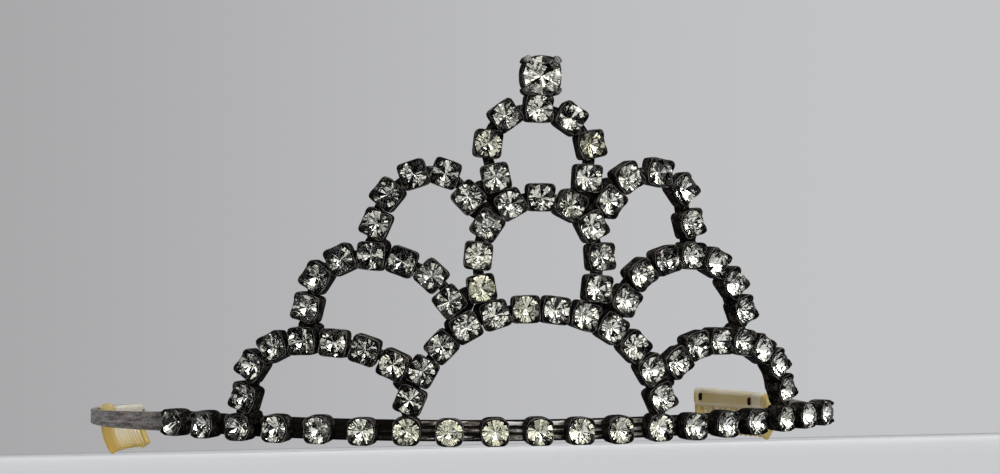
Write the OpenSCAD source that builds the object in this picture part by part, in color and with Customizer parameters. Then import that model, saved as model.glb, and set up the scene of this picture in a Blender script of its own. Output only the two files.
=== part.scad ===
// Tiara: a bent headband with a row of round stones in square cups, three tiers of three arches
// made of the same cups soldered on a ribbon, a larger stone on top, and a side comb at each rear
// end of the band. The worn front faces -Y, +X is the wearer's left and +Z is up.
//
// Places on the tiara are given as s and h. s is the length along the band from its middle, positive
// towards +X, and h is the height above the middles of the base stones. A third figure, out, is the
// distance outwards from the surface that the stones' girdles lie in.

/* [Band] */
// Bend radius of the stones' surface across the front
front_radius = 85; // [84:0.5:86]
// Bend radius over the temples
side_radius = 67; // [66:0.5:68]
// Bend radius of the rear arms
rear_radius = 112; // [108:1:116]
// Length from the middle to the end of the front bend
front_reach = 40; // [39:0.5:41]
// Length from the middle to the end of the temple bend
side_reach = 100; // [99:0.5:101]
// Length from the middle to the rear end of the band
band_reach = 165; // [164.5:0.5:168]
// Length from the middle to where the arms start to droop
droop_reach = 66; // [65.5:0.5:67]
// Droop of the -X rear arm in degrees
droop_left = 4; // [3.6:0.1:4.4]
// Droop of the +X rear arm in degrees
droop_right = 3.4; // [3:0.1:3.8]
// Height of the reeded band
band_h = 3.5; // [3.2:0.1:3.6]
// Thickness of the band
band_t = 1; // [0.8:0.1:1]
// Number of reeds along the band
reeds = 3; // [2:1:4]
// Depth of the grooves between the reeds
reed_depth = 0.25; // [0.15:0.05:0.35]

/* [Cups] */
// Width of a small cup
cup_w = 4.4; // [4.2:0.1:4.4]
// Reach of a small cup's rounded corners
cup_reach = 2.8; // [2.7:0.05:2.8]
// Depth of a small cup behind its stone's girdle
cup_depth = 3.2; // [3:0.1:3.4]
// Radius of a small claw
claw_r = 0.5; // [0.45:0.05:0.55]
// Height of a cup's four corners over the girdle
corner_rise = 0.3; // [0.2:0.05:0.4]
// Width of the dip in each wall between the claws
dip_w = 2.3; // [2:0.1:2.5]
// Depth of that dip below the girdle
dip_depth = 0.45; // [0.3:0.05:0.6]

/* [Stones] */
// Diameter of a small stone
stone_d = 4; // [3.8:0.1:4]
// Clearance between a stone and its cup
stone_gap = 0.06; // [0.05:0.01:0.08]
// Turn from each stone to the next in its row, in degrees
stone_turn = 17; // [0:1:45]

/* [Finial] */
// Width of the top setting
finial_w = 6.6; // [6.4:0.1:6.8]
// Reach of the top setting's rounded corners
finial_reach = 4.1; // [4:0.05:4.2]
// Diameter of the top stone
finial_stone_d = 6.2; // [6:0.1:6.2]
// Height of the top stone's middle
finial_h = 58.1; // [58:0.1:58.2]
// Radius of a claw of the top setting
finial_claw_r = 0.8; // [0.7:0.05:0.85]

/* [Arches] */
// Width of the link between two cups, across the arch
link_w = 1.8; // [1.4:0.1:2]
// Thickness of the ribbon behind the cups
ribbon_t = 0.9; // [0.8:0.05:1]
// Depth of the ribbon from its outer to its inner edge
ribbon_depth = 2; // [1.8:0.1:2.2]

/* [Combs] */
// Length along the band to a comb's front end
comb_start = 131.5; // [130.5:0.5:132.5]
// Length along the band to a comb's rear end
comb_end = 164; // [163:0.5:164.5]
// Length along the band to the front one of a comb's two straps
strap_front = 140.5; // [139.5:0.5:141.5]
// Length along the band to the rear one
strap_rear = 162; // [161:0.5:162.5]
// Height of a comb's spine
spine_h = 4.7; // [4.4:0.1:5]
// Thickness of a comb's spine
spine_t = 2.8; // [2.6:0.1:3]
// Height of the spine's top over the middle of the band
spine_top = 2.8; // [2.6:0.1:3]
// Number of teeth of a comb
teeth = 14; // [12:1:15]
// Width of a tooth along the comb
tooth_w = 1.1; // [0.9:0.1:1.2]
// Width of the two outermost teeth
guard_w = 2.2; // [1.6:0.1:2.6]
// Thickness of a tooth
tooth_t = 1.6; // [1.4:0.1:1.8]
// Length of the straight part of a tooth
tooth_straight = 2.3; // [2:0.1:3]
// Radius of the tooth's inward bend
tooth_bend_r = 9; // [8:0.5:12]
// Angle of the tooth's inward bend
tooth_bend = 24; // [20:1:26]

/* [Hidden] */
$fn = 64;

METAL = "#3b3833";
GLASS = "#d9dcd6";
COMB = "#d8b45a";

// The base cups' places along the band, spaced by hand as on the photographed piece
BASE_S = [-66, -59, -51.5, -44.5, -37, -29.5, -22, -15, -7.5, 0,
          7, 14, 21.5, 28.5, 35.5, 42.5, 50.5, 58.5, 66.5];
base_left_count = 9;

// One row an arch: the (s, h) of its first foot, of the two handles of its curve and of its last
// foot, then its number of cups. Left is -X.
//              foot           handle        handle        foot         cups
LOWER_LEFT =    [[-50.5, 5],    [-50, 21],    [-23.5, 12.5], [-24.3, 10.9], 7];
LOWER_CENTRE =  [[-21.5, 5.1],  [-14.5, 27],  [17, 23],      [21.9, 5.1],   12];
LOWER_RIGHT =   [[24.9, 10.8],  [24, 15],     [48.5, 17.5],  [51, 5.15],    7];
MIDDLE_LEFT =   [[-39, 20],     [-37.5, 35.5], [-14.5, 26.5], [-15, 21.3],  7];
MIDDLE_CENTRE = [[-9.7, 23.4],  [-15, 43.5],  [15, 43],      [9.9, 23.3],   9];
MIDDLE_RIGHT =  [[15, 21.3],    [14.5, 26.5], [33.5, 36],    [39.5, 19.3],  7];
UPPER_LEFT =    [[-27.2, 33.8], [-29, 37],    [-17.5, 48.5], [-12, 38.2],   5];
UPPER_CENTRE =  [[-7.5, 41.4],  [-15.5, 57],  [14, 56],      [8.1, 41.4],   7];
UPPER_RIGHT =   [[12, 37.6],    [9, 40.5],    [27, 49],      [27.6, 34.2],  5];

// A stone's proportions, as parts of its diameter
table_part = 0.29;
crown_part = 0.17;
girdle_part = 0.015;
pavilion_part = 0.41;

// A reed's outline: depth as a part of the groove, then height as a part of the reed
REED = [[1, 0.02], [0.25, 0.16], [0, 0.36], [0, 0.64], [0.25, 0.84], [1, 0.98]];

// The band's bends, seen from above
front_turn = front_reach / front_radius * 180 / PI;
side_turn = front_turn + (side_reach - front_reach) / side_radius * 180 / PI;
end_turn = side_turn + (band_reach - side_reach) / rear_radius * 180 / PI;
droop_turn = turn_at(droop_reach);
front_middle = [0, front_radius];
side_middle = front_middle + (front_radius - side_radius) * heading(front_turn);
rear_middle = side_middle + (side_radius - rear_radius) * heading(side_turn);
droop_y = plan(droop_reach)[1];

// The surfaces of the band, as out
band_face = 0.3 - cup_depth;
band_back = band_face - band_t;
comb_gap = 0.15;
comb_face = band_back - comb_gap;

// The rest attitude: the middle cup and the front edge of each comb's first tooth touch the surface below
tip_z = spine_top - spine_h - tooth_straight - tooth_bend_r * sin(tooth_bend) - tooth_t / 2 * sin(tooth_bend);
tip_out = comb_face - spine_t / 2 - tooth_bend_r + (tooth_bend_r + tooth_t / 2) * cos(tooth_bend);
tip_at = plan(comb_start) + tip_out * heading(turn_at(comb_start));
tip_left = tip(droop_left);
tip_right = tip(droop_right);
rest_tilt = atan(-(tip_left[1] + tip_right[1] + cup_w) / (tip_left[0] + tip_right[0]));
rest_roll = atan((tip_right[1] - tip_left[1]) / (2 * tip_at[0]));
rest_lift = cup_w / 2 * cos(rest_tilt) + corner_rise * sin(rest_tilt);
frame_back = 54.9;

// How far back and how high the tip of a comb's first tooth is, on an arm of that droop
function tip(droop) = let (back = tip_at[1] - droop_y)
    [droop_y + back * cos(droop) + tip_z * sin(droop), tip_z * cos(droop) - back * sin(droop)];

// The direction outwards where the band has turned by a
function heading(a) = [sin(a), -cos(a)];

// The band's turn at length s, in degrees
function turn_at(s) = let (a = abs(s)) sign(s) * 180 / PI * (
    a <= front_reach ? a / front_radius :
    a <= side_reach ? front_reach / front_radius + (a - front_reach) / side_radius :
    front_reach / front_radius + (side_reach - front_reach) / side_radius
    + (a - side_reach) / rear_radius);

// The point of the stones' surface at length s, seen from above
function plan(s) = let (a = abs(s), p = a <= front_reach ? front_middle + front_radius * heading(turn_at(a)) :
    a <= side_reach ? side_middle + side_radius * heading(turn_at(a)) :
    rear_middle + rear_radius * heading(turn_at(a))) [s < 0 ? -p[0] : p[0], p[1]];

// The point of an arch's curve at t from 0 to 1
function curve(arch, t) = pow(1 - t, 3) * arch[0] + 3 * pow(1 - t, 2) * t * arch[1]
    + 3 * (1 - t) * t * t * arch[2] + pow(t, 3) * arch[3];

// Pairs of the length run along an arch and the t reached there, up to t = 1
curve_steps = 60;
function run(arch, k = 1, length = 0) = k > curve_steps ? [] :
    let (now = length + norm(curve(arch, k / curve_steps) - curve(arch, (k - 1) / curve_steps)))
    concat([[now, k / curve_steps]], run(arch, k + 1, now));

// The (s, h) of each cup of an arch, at an even spacing along its curve
function stations(arch) = let (lengths = concat([[0, 0]], run(arch)), whole = lengths[curve_steps][0])
    [for (i = [0 : arch[4] - 1]) curve(arch, lookup(whole * i / (arch[4] - 1), lengths))];

// The slope of the row of stations at number i, from its neighbours
function slope(places, i) = let (last = len(places) - 1,
    step = places[min(i + 1, last)] - places[max(i - 1, 0)]) atan2(step[1], step[0]);

// A ring of count points of radius r at height z
function ring(r, z, count, start = 0) =
    [for (i = [0 : count - 1]) [r * cos(start + i * 360 / count), r * sin(start + i * 360 / count), z]];

// Stands the finished tiara on the surface that it rests on
module at_rest() translate([0, -frame_back, rest_lift]) rotate([rest_tilt, rest_roll, 0]) children();

// Lets a rear arm droop from droop_reach on
module drooped(angle) translate([0, droop_y, 0]) rotate([-angle, 0, 0]) translate([0, -droop_y, 0]) children();

// Stands a child on the stones' surface at (s, h), its x along the band, its z outwards
module on_face(s, h, slope = 0)
    translate([plan(s)[0], plan(s)[1], h]) rotate([0, 0, turn_at(s)]) rotate([90, 0, 0]) rotate([0, 0, slope])
        children();

// A box from low to high
module block(low, high) translate(low) cube(high - low);

// A stretch of a ring about middle, between two turns, of a profile given as out and height
module bent(middle, radius, from, to, outline)
    translate([middle[0], middle[1], 0]) rotate([0, 0, from - 90]) rotate_extrude(angle = to - from)
        polygon([for (p = outline) [radius + p[0], p[1]]]);

// The profile of the reeded band, grown by swell where one bend runs into the next
function band_outline(swell = 0) = concat(
    [[band_back - swell, band_h / 2 + swell], [band_back - swell, -band_h / 2 - swell]],
    [for (i = [0 : reeds - 1]) for (p = REED)
        [band_face + swell - reed_depth * p[0], ((i + p[1]) / reeds - 0.5) * (band_h + 2 * swell)]]);

// A cut stone: a table, a crown of triangles and kites, a girdle and a pavilion, looking along +Z
module stone(d) {
    points = concat(
        ring(table_part * d, crown_part * d, 8),
        ring(d / 2, girdle_part * d, 16),
        ring(d / 2, -girdle_part * d, 16),
        [[0, 0, -pavilion_part * d]]);
    top = 8;
    low = 24;
    culet = 40;
    table = [[for (k = [7 : -1 : 0]) k]];
    crown = [for (k = [0 : 7]) let (next = (k + 1) % 8, here = top + 2 * k, mid = here + 1,
        before = top + (2 * k + 15) % 16) each [[k, next, mid], [k, mid, here], [k, here, before]]];
    girdle = [for (j = [0 : 15]) let (next = (j + 1) % 16) [top + j, top + next, low + next, low + j]];
    pavilion = [for (j = [0 : 15]) [low + j, low + (j + 1) % 16, culet]];
    polyhedron(points, concat(table, crown, girdle, pavilion));
}

// The room that a stone takes in its cup
module stone_room(d) {
    grown = d / 2 + stone_gap;
    rotate_extrude() polygon([
        [0, -pavilion_part * d - 2 * stone_gap],
        [grown, -girdle_part * d - stone_gap],
        [grown, girdle_part * d + stone_gap],
        [table_part * d + stone_gap, crown_part * d + stone_gap],
        [0, crown_part * d + stone_gap]]);
}

// A square cup with round corners, four claws bent over its stone and a dip in each wall
module cup(w, reach, depth, stone, claw) {
    difference() {
        union() {
            intersection() {
                block([-w / 2, -w / 2, -depth], [w / 2, w / 2, corner_rise]);
                translate([0, 0, -depth]) cylinder(r = reach, h = depth + corner_rise);
            }
            for (corner = [45 : 90 : 315])
                rotate([0, 0, corner]) translate([reach - claw, 0, corner_rise]) sphere(r = claw);
        }
        stone_room(stone);
        block([-dip_w / 2, -w, -dip_depth], [dip_w / 2, w, w]);
        block([-w, -dip_w / 2, -dip_depth], [w, dip_w / 2, w]);
    }
}

// A small cup
module small_cup() cup(cup_w, cup_reach, cup_depth, stone_d, claw_r);

// A soldered arch: its cups, the links between them and the ribbon behind
module arch(row) {
    places = stations(row);
    ribbon_front = 0.4 - cup_depth;
    ribbon_back = ribbon_front - ribbon_depth;
    link_front = -pavilion_part * stone_d - 4 * stone_gap;
    for (i = [0 : len(places) - 1]) {
        on_face(places[i][0], places[i][1], slope(places, i)) small_cup();
        on_face(places[i][0], places[i][1]) translate([0, 0, ribbon_back])
            cylinder(r = ribbon_t / 2, h = ribbon_depth);
    }
    for (i = [1 : len(places) - 1]) {
        step = places[i] - places[i - 1];
        middle = (places[i] + places[i - 1]) / 2;
        half = norm(step) / 2;
        on_face(middle[0], middle[1], atan2(step[1], step[0])) {
            block([-half, -ribbon_t / 2, ribbon_back], [half, ribbon_t / 2, ribbon_front]);
            block([-half, -link_w / 2, -0.9 * cup_depth], [half, link_w / 2, link_front]);
        }
    }
}

// The stones of the places in a row, with their slopes
module row_of_stones(places)
    for (i = [0 : len(places) - 1])
        on_face(places[i][0], places[i][1], slope(places, i) + i * stone_turn) stone(stone_d);

module arch_piece(row) color(METAL) at_rest() arch(row);

module stone_piece(row) color(GLASS) at_rest() row_of_stones(stations(row));

// The half of the band on one side, from the end of the front bend to the rear end
module band_arm(droop) {
    overlap = 0.3;
    swell = 0.02;
    bent(side_middle, side_radius, front_turn - overlap, droop_turn, band_outline(swell));
    drooped(droop) {
        bent(side_middle, side_radius, droop_turn - overlap, side_turn, band_outline(swell));
        bent(rear_middle, rear_radius, side_turn - overlap, end_turn, band_outline());
        for (s = [strap_front, strap_rear]) comb_strap(s);
    }
}

// A strap from the band over the comb's spine and down its inner face
module comb_strap(s) {
    strap_w = 1.2;
    strap_t = 0.5;
    tab_h = 2;
    inner = comb_face - spine_t - comb_gap;
    over = spine_top + comb_gap;
    on_face(s, 0) {
        block([-strap_w / 2, band_h / 4, band_back], [strap_w / 2, over + strap_t, band_face - reed_depth]);
        block([-strap_w / 2, over, inner - strap_t], [strap_w / 2, over + strap_t, band_back + 0.1]);
        block([-strap_w / 2, over - tab_h, inner - strap_t], [strap_w / 2, over + strap_t, inner]);
    }
}

// A tooth of a comb: straight at its root, then bent inwards
module tooth(w) {
    root = spine_top - spine_h;
    middle = comb_face - spine_t / 2;
    block([-w / 2, root - tooth_straight, middle - tooth_t / 2], [w / 2, root + 0.5, middle + tooth_t / 2]);
    translate([-w / 2, root - tooth_straight, middle - tooth_bend_r]) rotate([0, 90, 0])
        rotate([0, 0, -90 - 90]) rotate_extrude(angle = tooth_bend)
            translate([tooth_bend_r - tooth_t / 2, 0]) square([tooth_t, w]);
}

// A side comb on the inner side of the +X arm
module comb(droop) {
    edge = 0.5;
    low = spine_top - spine_h;
    inner = comb_face - spine_t;
    drooped(droop) {
        bent(rear_middle, rear_radius, turn_at(comb_start), turn_at(comb_end), [
            [comb_face, low], [comb_face, spine_top - edge], [comb_face - edge, spine_top],
            [inner + edge, spine_top], [inner, spine_top - edge], [inner, low]]);
        for (s = [comb_start + guard_w / 2, comb_end - guard_w / 2]) on_face(s, 0) tooth(guard_w);
        pitch = (comb_end - comb_start - guard_w) / (teeth - 1);
        for (i = [1 : teeth - 2]) on_face(comb_start + guard_w / 2 + i * pitch, 0) tooth(tooth_w);
    }
}

module headband() color(METAL) at_rest() {
    bent(front_middle, front_radius, -front_turn, front_turn, band_outline());
    band_arm(droop_right);
    mirror([1, 0, 0]) band_arm(droop_left);
    for (s = BASE_S) on_face(s, 0) small_cup();
}

module base_stones_left() color(GLASS) at_rest()
    row_of_stones([for (i = [0 : base_left_count - 1]) [BASE_S[i], 0]]);

module base_stones_right() color(GLASS) at_rest()
    row_of_stones([for (i = [base_left_count : len(BASE_S) - 1]) [BASE_S[i], 0]]);

module lower_left_arch() arch_piece(LOWER_LEFT);
module lower_centre_arch() arch_piece(LOWER_CENTRE);
module lower_right_arch() arch_piece(LOWER_RIGHT);
module middle_left_arch() arch_piece(MIDDLE_LEFT);
module middle_centre_arch() arch_piece(MIDDLE_CENTRE);
module middle_right_arch() arch_piece(MIDDLE_RIGHT);
module upper_left_arch() arch_piece(UPPER_LEFT);
module upper_right_arch() arch_piece(UPPER_RIGHT);

// The top arch carries the setting of the large stone, soldered on its crown
module upper_centre_arch() {
    arch_piece(UPPER_CENTRE);
    color(METAL) at_rest() on_face(0, finial_h)
        cup(finial_w, finial_reach, cup_depth + 0.4, finial_stone_d, finial_claw_r);
}

module lower_left_stones() stone_piece(LOWER_LEFT);
module lower_centre_stones() stone_piece(LOWER_CENTRE);
module lower_right_stones() stone_piece(LOWER_RIGHT);
module middle_left_stones() stone_piece(MIDDLE_LEFT);
module middle_centre_stones() stone_piece(MIDDLE_CENTRE);
module middle_right_stones() stone_piece(MIDDLE_RIGHT);
module upper_left_stones() stone_piece(UPPER_LEFT);
module upper_centre_stones() stone_piece(UPPER_CENTRE);
module upper_right_stones() stone_piece(UPPER_RIGHT);

module finial_stone() color(GLASS) at_rest() on_face(0, finial_h) stone(finial_stone_d);

module comb_right() color(COMB) at_rest() comb(droop_right);
module comb_left() color(COMB) at_rest() mirror([1, 0, 0]) comb(droop_left);

headband();
base_stones_left();
base_stones_right();
lower_left_arch();
lower_centre_arch();
lower_right_arch();
middle_left_arch();
middle_centre_arch();
middle_right_arch();
upper_left_arch();
upper_centre_arch();
upper_right_arch();
lower_left_stones();
lower_centre_stones();
lower_right_stones();
middle_left_stones();
middle_centre_stones();
middle_right_stones();
upper_left_stones();
upper_centre_stones();
upper_right_stones();
finial_stone();
comb_left();
comb_right();
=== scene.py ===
"""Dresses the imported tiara: blackened soldered metal, foiled cut stones and aged plastic combs."""

import logging
import math
import random
from dataclasses import dataclass, field
from enum import Enum
from itertools import combinations
from typing import Any, Sequence, Union

import bmesh
import bpy
from mathutils import Matrix, Vector, noise


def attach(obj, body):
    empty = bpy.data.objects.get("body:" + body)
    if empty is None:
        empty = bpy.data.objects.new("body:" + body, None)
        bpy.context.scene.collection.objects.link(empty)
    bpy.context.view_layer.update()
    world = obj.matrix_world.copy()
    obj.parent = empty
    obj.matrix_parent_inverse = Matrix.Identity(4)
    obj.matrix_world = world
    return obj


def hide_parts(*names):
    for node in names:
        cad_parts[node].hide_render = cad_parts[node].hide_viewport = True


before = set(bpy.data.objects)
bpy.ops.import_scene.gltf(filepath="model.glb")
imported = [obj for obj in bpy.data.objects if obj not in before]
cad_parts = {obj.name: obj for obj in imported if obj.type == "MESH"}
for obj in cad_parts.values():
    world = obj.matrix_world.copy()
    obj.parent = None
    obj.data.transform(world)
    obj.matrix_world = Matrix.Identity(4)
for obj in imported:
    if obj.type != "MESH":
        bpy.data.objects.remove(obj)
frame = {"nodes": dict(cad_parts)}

LOG = logging.getLogger("tiara")
MM = 0.001
ROOT = "root"

EDGE_WEAR = 0.6
METAL_RELIEF_MM = 0.04
CUP_SEED = 4100
STONE_SEED = 7300

Value = Union["Wire", float]
Levels = Union[float, Sequence[float]]
Colour = tuple[float, float, float]


# Where things are on the tiara


class Side(Enum):
    """The two sides of the tiara, seen from the front."""

    LEFT = -1
    RIGHT = 1


class Slot(Enum):
    """Names of material slots."""

    BAND = "band_metal"
    ARCH = "arch_metal"
    STONES = "stones"
    COMB = "comb_plastic"


class FoilAndLight(Enum):
    """How far a stone is darker or brighter than its place on the tiara gives: partly its foil's own state,
    partly painted shade and painted light.
    """

    BRIGHT = -1.8
    FRESH = -0.7
    CLEAR = -0.45
    FAIR = -0.25
    PLAIN = 0.0
    FADED = 0.22
    DULL = 0.45
    DARK = 0.8
    BLACK = 1.2


@dataclass(frozen=True)
class Layout:
    """The bends of the band and the way that the tiara rests, in millimetres and degrees.

    A place is given as s, the length along the band from its middle, h, the height above the middles
    of the base stones, and out, the distance outwards from the surface of the stones' girdles.
    """

    front_radius: float = 85
    side_radius: float = 67
    rear_radius: float = 112
    front_reach: float = 40
    side_reach: float = 100
    band_reach: float = 165
    droop_reach: float = 66
    droop_left: float = 4
    droop_right: float = 3.4
    rest_tilt: float = 6.6044
    rest_roll: float = 0.2579
    rest_lift: float = 2.22
    frame_back: float = 54.9

    def turn(self, s: float) -> float:
        """Gives the band's turn at a place.

        Args:
            s: The length along the band.

        Returns:
            The turn in radians.
        """
        reach = abs(s)
        turn = min(reach, self.front_reach) / self.front_radius
        turn += max(0, min(reach, self.side_reach) - self.front_reach) / self.side_radius
        turn += max(0, reach - self.side_reach) / self.rear_radius
        return math.copysign(turn, s)

    def plan(self, s: float, out: float = 0) -> Vector:
        """Gives a place seen from above.

        Args:
            s: The length along the band.
            out: The distance outwards.

        Returns:
            The place at height 0.
        """
        reach = abs(s)
        centre = Vector((0, self.front_radius, 0))
        radius = self.front_radius
        for start, next_radius in ((self.front_reach, self.side_radius), (self.side_reach, self.rear_radius)):
            if reach > start:
                centre += (radius - next_radius) * self.heading(self.turn(start))
                radius = next_radius
        place = centre + (radius + out) * self.heading(self.turn(reach))
        return Vector((math.copysign(1, s) * place.x, place.y, 0))

    @staticmethod
    def heading(turn: float) -> Vector:
        """Gives the direction outwards at a turn in radians."""
        return Vector((math.sin(turn), -math.cos(turn), 0))

    def spot(self, s: float, h: float, out: float) -> Vector:
        """Gives a place on the front or on a drooping rear arm.

        Args:
            s: The length along the band.
            h: The height over the middle of the band.
            out: The distance outwards.

        Returns:
            The place in the tiara's own frame.
        """
        place = self.plan(s, out) + Vector((0, 0, h))
        if abs(s) <= self.droop_reach:
            return place
        return self.droop(s) @ place

    def droop(self, s: float) -> Matrix:
        """Gives the droop of the rear arm that a place is on.

        Args:
            s: The length along the band.

        Returns:
            The turn about the line where the arm starts to droop.
        """
        angle = math.radians(self.droop_left if s < 0 else self.droop_right)
        pivot = Vector((0, self.plan(self.droop_reach).y, 0))
        return Matrix.Translation(pivot) @ Matrix.Rotation(-angle, 4, "X") @ Matrix.Translation(-pivot)

    def seat(self, s: float, h: float, slope: float = 0) -> Matrix:
        """Gives the seat of a cup.

        Args:
            s: The length along the band.
            h: The height over the base stones.
            slope: The turn of the cup in its own plane, in radians.

        Returns:
            A frame with x along the band and z outwards.
        """
        place = self.plan(s) + Vector((0, 0, h))
        stand = Matrix.Rotation(self.turn(s), 4, "Z") @ Matrix.Rotation(math.pi / 2, 4, "X")
        return Matrix.Translation(place) @ stand @ Matrix.Rotation(slope, 4, "Z")

    def rest(self) -> Matrix:
        """Gives the move from the tiara's own frame to the way that it rests.

        Returns:
            The move in millimetres.
        """
        roll = Matrix.Rotation(math.radians(self.rest_roll), 4, "Y")
        tilt = Matrix.Rotation(math.radians(self.rest_tilt), 4, "X")
        return Matrix.Translation((0, -self.frame_back, self.rest_lift)) @ roll @ tilt


@dataclass(frozen=True)
class Seat:
    """One cup's place: its frame, and its number among all the cups."""

    frame: Matrix
    number: int


@dataclass(frozen=True)
class Row:
    """A soldered row of cups on a curve from foot to foot, as (s, h) of its ends and handles."""

    name: str
    foot: tuple[float, float]
    handle: tuple[float, float]
    far_handle: tuple[float, float]
    far_foot: tuple[float, float]
    cups: int
    steps: int = 120

    def at(self, t: float) -> Vector:
        """Gives the curve's point as (s, h).

        Args:
            t: How far along the curve, from 0 to 1.

        Returns:
            The point.
        """
        a, b, c, d = (Vector(p) for p in (self.foot, self.handle, self.far_handle, self.far_foot))
        back = 1 - t
        return back**3 * a + 3 * back * back * t * b + 3 * back * t * t * c + t**3 * d

    def even(self, count: int) -> list[Vector]:
        """Gives points at an even spacing along the curve.

        Args:
            count: How many points, with both feet.

        Returns:
            The points as (s, h).
        """
        track = [self.at(k / self.steps) for k in range(self.steps + 1)]
        lengths = [0.0]
        for before, after in zip(track, track[1:]):
            lengths.append(lengths[-1] + (after - before).length)
        points = []
        for i in range(count):
            wanted = lengths[-1] * i / (count - 1)
            k = max(j for j in range(self.steps) if lengths[j] <= wanted or j == 0)
            part = (wanted - lengths[k]) / (lengths[k + 1] - lengths[k])
            points.append(track[k].lerp(track[k + 1], part))
        return points


@dataclass(frozen=True)
class HandWork:
    """The unevenness of cups that were soldered on by hand, in degrees and millimetres."""

    turn: float = 3.5
    lean: float = 3
    shift: float = 0.07

    def settle(self, even: Matrix, number: int) -> Matrix:
        """Sets one cup a little off.

        Args:
            even: The cup's even frame.
            number: The cup's number, which seeds its unevenness.

        Returns:
            The frame as it was soldered.
        """
        draw = random.Random(CUP_SEED + number)
        turn, lean, nod = (math.radians(draw.uniform(-1, 1) * k) for k in (self.turn, self.lean, self.lean))
        shift = Matrix.Translation([draw.uniform(-1, 1) * self.shift for _ in range(3)])
        spin = Matrix.Rotation(turn, 4, "Z") @ Matrix.Rotation(lean, 4, "X") @ Matrix.Rotation(nod, 4, "Y")
        return even @ shift @ spin


LAYOUT = Layout()
HAND = HandWork()
# Where the base stones stand along the band
BASE_S = (
    -66, -59, -51.5, -44.5, -37, -29.5, -22, -15, -7.5, 0, 7, 14, 21.5, 28.5, 35.5, 42.5, 50.5, 58.5, 66.5,
)
BASE_LEFT_COUNT = 9
COMB_REACH = (131.5, 164)
TOP_STONE_H = 58.1
# A strap's way over the comb's spine, as (out, h, part of its full width)
STRAP_PATH = (
    (-3.75, 0.6, 1), (-4.0, 1.9, 1), (-4.3, 2.3, 0.7), (-4.8, 2.6, 0.45), (-5.4, 2.66, 0.4),
    (-6.1, 2.5, 0.45), (-6.45, 2.1, 0.7), (-6.65, 1.7, 1), (-6.95, 1.3, 1.2), (-7.0, 0.7, 1.2),
    (-6.95, 0.0, 0.9),
)
# How yellow the foil of a stone has gone, by the stone's number
AGED_STONES = {
    5: 0.2, 6: 0.6, 7: 0.6, 8: 0.7, 9: 0.6, 10: 0.5, 11: 0.4, 12: 0.3, 16: 0.4, 25: 0.3, 31: 0.5, 52: 0.8,
    53: 0.3, 57: 0.3, 62: 0.3, 74: 0.5, 78: 1,
}
# The stones that are darker or brighter than their place gives, by number: partly the foil's own state,
# partly painted shade and painted light
FOIL_AND_LIGHT_STATES = {
    FoilAndLight.BRIGHT: (16, 17, 52),
    FoilAndLight.FRESH: (4, 6, 35, 37, 42, 66),
    FoilAndLight.CLEAR: (3, 8, 25, 27, 29, 39, 50, 53, 68, 76),
    FoilAndLight.FAIR: (7, 21, 23, 26, 36, 45, 48, 60, 67, 69, 84),
    FoilAndLight.FADED: (14, 18, 19, 22, 32, 49, 51, 73),
    FoilAndLight.DULL: (0, 11, 15, 46, 54, 55, 56, 59, 61, 62, 71, 77, 80, 83),
    FoilAndLight.DARK: (5, 12, 13, 57, 63, 75, 85),
    FoilAndLight.BLACK: (44, 78),
}
FOIL_AND_LIGHT_OF_STONE = {number: state for state, numbers in FOIL_AND_LIGHT_STATES.items() for number in numbers}
ROWS = (
    Row("lower_left", (-50.5, 5), (-50, 21), (-23.5, 12.5), (-24.3, 10.9), 7),
    Row("lower_centre", (-21.5, 5.1), (-14.5, 27), (17, 23), (21.9, 5.1), 12),
    Row("lower_right", (24.9, 10.8), (24, 15), (48.5, 17.5), (51, 5.15), 7),
    Row("middle_left", (-39, 20), (-37.5, 35.5), (-14.5, 26.5), (-15, 21.3), 7),
    Row("middle_centre", (-9.7, 23.4), (-15, 43.5), (15, 43), (9.9, 23.3), 9),
    Row("middle_right", (15, 21.3), (14.5, 26.5), (33.5, 36), (39.5, 19.3), 7),
    Row("upper_left", (-27.2, 33.8), (-29, 37), (-17.5, 48.5), (-12, 38.2), 5),
    Row("upper_centre", (-7.5, 41.4), (-15.5, 57), (14, 56), (8.1, 41.4), 7),
    Row("upper_right", (12, 37.6), (9, 40.5), (27, 49), (27.6, 34.2), 5),
)


def clamp(value: float) -> float:
    """Holds a value between 0 and 1."""
    return min(1, max(0, value))


def headings(track: Sequence[Vector]) -> list[Vector]:
    """Gives the direction at each place of a track, from the place before it to the one after."""
    after = [*track[1:], track[-1]]
    return [(b - a).normalized() for a, b in zip([track[0], *track], after)]


def row_seats(row: Row, first: int) -> list[Seat]:
    """Gives the seats of a row's cups.

    Args:
        row: The row.
        first: The number of its first cup.

    Returns:
        The seats from foot to foot.
    """
    places = row.even(row.cups)
    seats = []
    for number, (place, way) in enumerate(zip(places, headings(places)), first):
        even = LAYOUT.seat(place.x, place.y, math.atan2(way.y, way.x))
        seats.append(Seat(HAND.settle(even, number), number))
    return seats


def spine_fall(s: float) -> float:
    """Gives how much lower than an even comb's the top of a comb's spine is.

    Args:
        s: The length along the band.

    Returns:
        The fall in millimetres: behind the knob of the left comb, and towards the front end of the right one.
    """
    start, end = COMB_REACH
    if s < 0:
        return 0.75 + 0.7 * clamp((-s - start - 3.5) / 1.5)
    return 0.3 + 0.9 * (end - s) / (end - start) + max(0, 1 - (s - start) / 3) ** 2


# Meshes


def spread(value: Any, count: int) -> Sequence[Any]:
    """Repeats a number for each of count places, unless it is a list for them already."""
    return [value] * count if isinstance(value, (int, float)) else value


def write_mark(mesh: bpy.types.Mesh, name: str, domain: str, levels: Sequence[float]) -> None:
    """Writes a named value for each point or face of a mesh."""
    mesh.attributes.new(name, "FLOAT", domain).data.foreach_set("value", levels)


def add_object(name: str, data: bpy.types.ID) -> bpy.types.Object:
    """Puts an object with its data in the scene.

    Args:
        name: The object's name.
        data: Its mesh, light or camera.

    Returns:
        The object.
    """
    made = bpy.data.objects.new(name, data)
    bpy.context.scene.collection.objects.link(made)
    return made


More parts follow.
